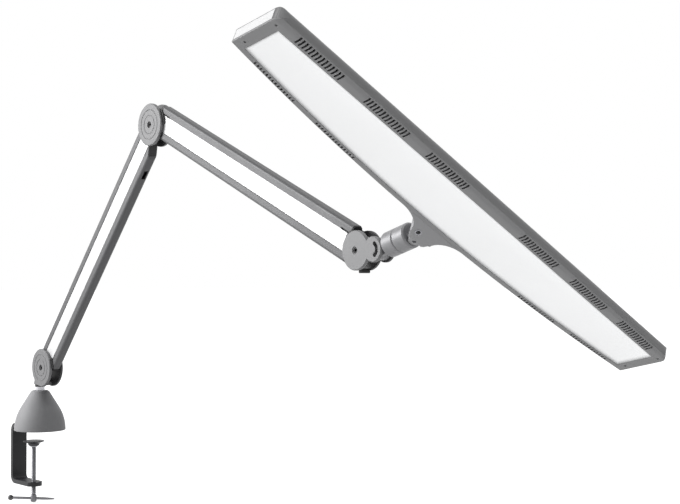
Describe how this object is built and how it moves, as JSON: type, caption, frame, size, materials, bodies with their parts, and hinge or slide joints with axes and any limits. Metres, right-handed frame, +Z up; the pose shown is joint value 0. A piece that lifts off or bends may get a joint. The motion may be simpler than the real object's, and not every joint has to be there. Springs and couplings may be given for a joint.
{
  "type": "daylight lamp",
  "caption": "Clamp-held desk task lamp with two parallel-link arms, a bell base and a long flat light head on a tilt, roll and turn joint.",
  "frame": {"origin": "on the turning axis of the post, in the plane of the upper jaw's underside, which rests on the table top", "axes": "+X along the reach of the arm at rest, +Y across it away from the viewer's side, +Z up along the post"},
  "size_m": [0.9002, 0.4744, 0.5132],
  "materials": {
    "charcoal": "satin powder coat",
    "dark_cheek": "satin powder coat",
    "socket_steel": "turned",
    "black_steel": "black oxide",
    "bell": "satin powder coat",
    "screw_steel": "turned, bright",
    "pad_steel": "satin",
    "black_plastic": "fine texture",
    "post_steel": "ground, satin",
    "cheek_grey": "fine turned, satin anodised",
    "rail": "extruded, satin anodised",
    "web": "bright satin anodised",
    "spring_steel": "oiled",
    "rod_steel": "plain strip",
    "rubber": "moulded",
    "knuckle_grey": "cast, satin paint",
    "head_grey": "satin powder coat",
    "frame_grey": "satin powder coat",
    "diffuser": "satin opal",
    "guide": "clear, polished",
    "led_board": "white solder mask",
    "tray": "bare sheet",
    "board": "solder mask",
    "end_cap": "fine texture",
    "switch_dark": "satin",
    "switch_light": "polished"
  },
  "bodies": {
    "clamp": {"clamp_bracket": "charcoal", "post_socket": "socket_steel", "socket_screws": "black_steel", "bell_cover": "bell"},
    "pad": {"pressure_plate": "pad_steel", "plate_retainer": "screw_steel"},
    "screw": {"clamp_screw": "screw_steel"},
    "bar": {"sliding_bar": "screw_steel", "bar_ball": "black_plastic"},
    "fork": {"post": "post_steel", "post_collar": "black_plastic", "base_cheek_front": "cheek_grey", "base_cheek_back": "dark_cheek", "base_bolt": "black_steel", "base_spacer": "black_plastic", "base_rod_pin": "screw_steel"},
    "lower_arm": {"lower_profile": "rail", "lower_panels": "web", "lower_foot_fitting": "black_plastic", "lower_top_fitting": "black_plastic", "lower_spring": "spring_steel"},
    "lower_rod": {"lower_tie_rod": "rod_steel"},
    "elbow": {"elbow_cheek_front": "cheek_grey", "elbow_cheek_back": "dark_cheek", "elbow_bolt": "black_steel", "elbow_spacer": "black_plastic", "elbow_rod_pins": "screw_steel"},
    "upper_arm": {"upper_profile": "rail", "upper_panels": "web", "upper_elbow_fitting": "black_plastic", "upper_shade_fitting": "black_plastic", "upper_spring": "spring_steel"},
    "upper_rod": {"upper_tie_rod": "rod_steel"},
    "bracket": {"bracket_plate_front": "cheek_grey", "bracket_plate_back": "dark_cheek", "shade_bolt": "black_steel", "shade_spacer": "black_plastic", "shade_rod_pin": "screw_steel", "bump_stop": "rubber", "tilt_bolt": "black_steel"},
    "knuckle": {"tilt_knuckle": "knuckle_grey", "swivel_axle": "screw_steel", "limit_pin": "black_steel"},
    "swivel": {"swivel_barrel": "knuckle_grey", "head_pin": "screw_steel"},
    "head": {"neck": "head_grey", "neck_screws": "black_steel", "top_housing": "head_grey", "under_frame": "frame_grey", "diffuser": "diffuser", "light_guide": "guide", "led_strips": "led_board", "back_tray": "tray", "driver_board": "board", "end_caps": "end_cap", "frame_screws": "black_steel", "switch_bezel": "switch_dark"},
    "button": {"switch_button": "switch_light"}
  },
  "joints": [
    {"name": "clamp_travel", "type": "slide", "parent": "clamp", "child": "pad", "axis": [0, 0, 1], "range_m": [-0.046, 0.0115]},
    {"name": "clamp_turn", "type": "hinge", "parent": "pad", "child": "screw", "pos_m": [-0.017, 0, 0], "axis": [0, 0, 1], "range_deg": [-16570, 4150]},
    {"name": "bar_slide", "type": "slide", "parent": "screw", "child": "bar", "axis": [0.766, 0.6428, 0], "range_m": [-0.018, 0.024]},
    {"name": "base_swivel", "type": "hinge", "parent": "clamp", "child": "fork", "pos_m": [0, 0, 0.03], "axis": [0, 0, 1], "range_deg": [-170, 170]},
    {"name": "lower_swing", "type": "hinge", "parent": "fork", "child": "lower_arm", "pos_m": [0.02, 0, 0.0845], "axis": [0, -1, 0], "range_deg": [-31, 36]},
    {"name": "lower_rod_swing", "type": "hinge", "parent": "fork", "child": "lower_rod", "pos_m": [0.01176, 0, 0.09179], "axis": [0, -1, 0], "range_deg": [-31, 36]},
    {"name": "elbow_level", "type": "hinge", "parent": "lower_arm", "child": "elbow", "pos_m": [0.28505, 0, 0.38408], "axis": [0, -1, 0], "range_deg": [-36, 31]},
    {"name": "upper_swing", "type": "hinge", "parent": "elbow", "child": "upper_arm", "pos_m": [0.28505, 0, 0.38408], "axis": [0, -1, 0], "range_deg": [-22, 52]},
    {"name": "upper_rod_swing", "type": "hinge", "parent": "elbow", "child": "upper_rod", "pos_m": [0.28929, 0, 0.39423], "axis": [0, -1, 0], "range_deg": [-22, 52]},
    {"name": "bracket_level", "type": "hinge", "parent": "upper_arm", "child": "bracket", "pos_m": [0.65406, 0, 0.22972], "axis": [0, -1, 0], "range_deg": [-52, 22]},
    {"name": "head_tilt", "type": "hinge", "parent": "bracket", "child": "knuckle", "pos_m": [0.67906, 0, 0.23042], "axis": [0, -1, 0], "range_deg": [-58, 58]},
    {"name": "head_roll", "type": "hinge", "parent": "knuckle", "child": "swivel", "pos_m": [0.67906, 0, 0.23042], "axis": [0.9613, 0, 0.2756], "range_deg": [-59, 121]},
    {"name": "head_turn", "type": "hinge", "parent": "swivel", "child": "head", "pos_m": [0.73001, 0, 0.24503], "axis": [-0.2363, 0.515, 0.824], "range_deg": [-35, 25]},
    {"name": "button_press", "type": "slide", "parent": "head", "child": "button", "axis": [0.2363, -0.515, -0.824], "range_m": [0, 0.0015], "stiffness_N_per_m": 400, "springref_m": -0.002}
  ],
  "couplings": [
    {"joint": "clamp_turn", "follows": "clamp_travel", "rad_per_m": 6283.2},
    {"joint": "lower_rod_swing", "follows": "lower_swing", "ratio": 1},
    {"joint": "elbow_level", "follows": "lower_swing", "ratio": -1},
    {"joint": "upper_rod_swing", "follows": "upper_swing", "ratio": 1},
    {"joint": "bracket_level", "follows": "upper_swing", "ratio": -1}
  ]
}
